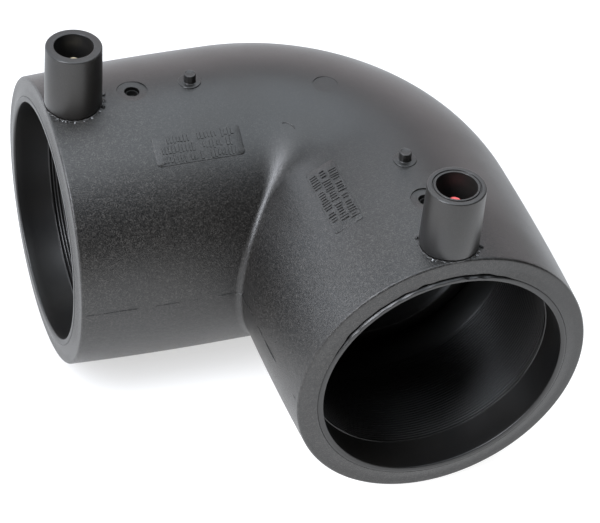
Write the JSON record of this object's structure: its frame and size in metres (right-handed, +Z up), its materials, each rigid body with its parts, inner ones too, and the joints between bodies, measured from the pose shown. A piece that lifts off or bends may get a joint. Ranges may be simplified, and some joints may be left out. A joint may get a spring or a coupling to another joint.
{
  "type": "electrofusion elbow",
  "caption": "Black polyethylene right-angle pipe elbow with two electrofusion sockets, wound heating coils, terminal shrouds and rising melt indicators.",
  "frame": {"origin": "middle of the bounding box, at the bottom", "axes": "-X out of socket A, -Y out of socket B, +Z up along the terminal shrouds and pins"},
  "size_m": [0.1744, 0.1744, 0.1371],
  "materials": {
    "body_black": "fine spark-eroded matte",
    "shroud_black": "smooth satin",
    "sleeve_black": "smooth satin",
    "coil_covering": "satin ridges",
    "peg_black": "satin",
    "copper_wire": "drawn copper",
    "pin_brass": "turned brass",
    "tip_red": "satin"
  },
  "bodies": {
    "fitting": {"elbow_body": "body_black", "coil_sleeve_a": "sleeve_black", "coil_sleeve_b": "sleeve_black", "heating_coil_a": "coil_covering", "heating_coil_b": "coil_covering", "link_wire": "copper_wire", "lead_wire_a": "copper_wire", "lead_wire_b": "copper_wire", "terminal_pin_a": "pin_brass", "terminal_pin_b": "pin_brass", "pin_tip_b": "tip_red", "terminal_shroud_a": "shroud_black", "terminal_shroud_b": "shroud_black"},
    "indicator_a": {"melt_indicator_a": "peg_black"},
    "indicator_b": {"melt_indicator_b": "peg_black"}
  },
  "joints": [
    {"name": "indicator_a_rise", "type": "slide", "parent": "fitting", "child": "indicator_a", "axis": [0, 0, 1], "range_m": [0, 0.003]},
    {"name": "indicator_b_rise", "type": "slide", "parent": "fitting", "child": "indicator_b", "axis": [0, 0, 1], "range_m": [0, 0.003]}
  ]
}
